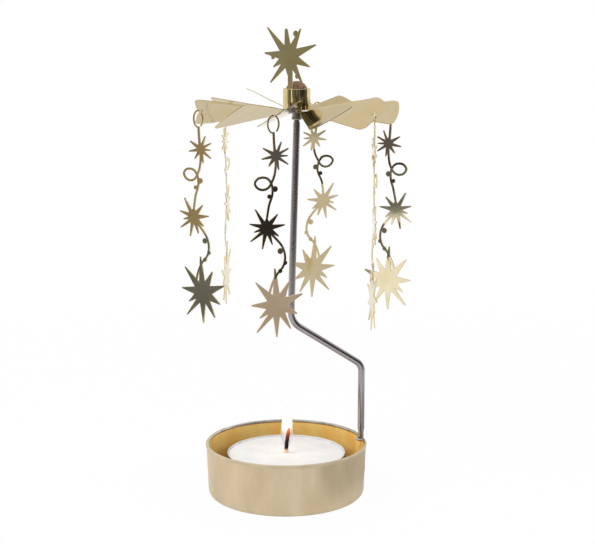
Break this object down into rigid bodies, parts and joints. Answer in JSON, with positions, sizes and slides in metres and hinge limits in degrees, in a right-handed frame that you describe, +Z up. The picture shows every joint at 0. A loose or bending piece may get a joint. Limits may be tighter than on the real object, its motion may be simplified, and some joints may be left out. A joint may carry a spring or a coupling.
{
  "type": "rotary candle carousel",
  "caption": "Metal tealight cup with a bent wire mast whose needle carries a bladed rotor with hanging star pendants, turned by the candle's warm air.",
  "frame": {"origin": "centre of the cup's flat base, on the surface that it stands on", "axes": "+Z up; +X from the cup's centre towards the side where the mast stands; +Y towards the back"},
  "size_m": [0.0726, 0.068, 0.1488],
  "materials": {
    "satin_brass": "satin champagne brass outside, golden inside",
    "brass_sheet": "bright rolled sheet, lightly brushed",
    "polished_brass": "polished",
    "steel_wire": "drawn wire, half bright",
    "tealight_aluminium": "thin bright shell",
    "wax": "white paraffin wax, slightly translucent",
    "wick": "charred cotton braid",
    "flame": "burning flame, in the looks only"
  },
  "bodies": {
    "cup": {"candle_cup": "satin_brass"},
    "mast": {"mast": "steel_wire"},
    "candle": {"tealight_shell": "tealight_aluminium", "wax": "wax", "wick": "wick", "wick_sustainer": "tealight_aluminium"},
    "rotor": {"rotor_blades": "brass_sheet", "bearing_thimble": "polished_brass", "hub_collar": "polished_brass", "top_star": "brass_sheet"},
    "charm_1": {"charm_1": "brass_sheet"},
    "charm_2": {"charm_2": "brass_sheet"},
    "charm_3": {"charm_3": "brass_sheet"},
    "charm_4": {"charm_4": "brass_sheet"},
    "charm_5": {"charm_5": "brass_sheet"},
    "charm_6": {"charm_6": "brass_sheet"}
  },
  "joints": [
    {"name": "candle_lift", "type": "slide", "parent": "cup", "child": "candle", "axis": [0, 0, 1], "range_m": [0, 0.02]},
    {"name": "mast_pull", "type": "slide", "parent": "cup", "child": "mast", "axis": [0, 0, 1], "range_m": [0, 0.014]},
    {"name": "rotor_spin", "type": "hinge", "parent": "mast", "child": "rotor", "pos_m": [0.0034, 0, 0.1236], "axis": [0, 0, 1], "continuous": true},
    {"name": "charm_1_swing", "type": "hinge", "parent": "rotor", "child": "charm_1", "pos_m": [0.03322, 0.00938, 0.12234], "axis": [0.5668, 0.8238, 0], "range_deg": [-20, 20]},
    {"name": "charm_2_swing", "type": "hinge", "parent": "rotor", "child": "charm_2", "pos_m": [0.01018, 0.03051, 0.12234], "axis": [-0.4301, 0.9028, 0], "range_deg": [-20, 20]},
    {"name": "charm_3_swing", "type": "hinge", "parent": "rotor", "child": "charm_3", "pos_m": [-0.01963, 0.02113, 0.12234], "axis": [-0.9969, 0.079, 0], "range_deg": [-20, 20]},
    {"name": "charm_4_swing", "type": "hinge", "parent": "rotor", "child": "charm_4", "pos_m": [-0.02642, -0.00938, 0.12234], "axis": [-0.5668, -0.8238, 0], "range_deg": [-20, 20]},
    {"name": "charm_5_swing", "type": "hinge", "parent": "rotor", "child": "charm_5", "pos_m": [-0.00338, -0.03051, 0.12234], "axis": [0.4301, -0.9028, 0], "range_deg": [-20, 20]},
    {"name": "charm_6_swing", "type": "hinge", "parent": "rotor", "child": "charm_6", "pos_m": [0.02644, -0.02113, 0.12234], "axis": [0.9969, -0.079, 0], "range_deg": [-20, 20]}
  ]
}
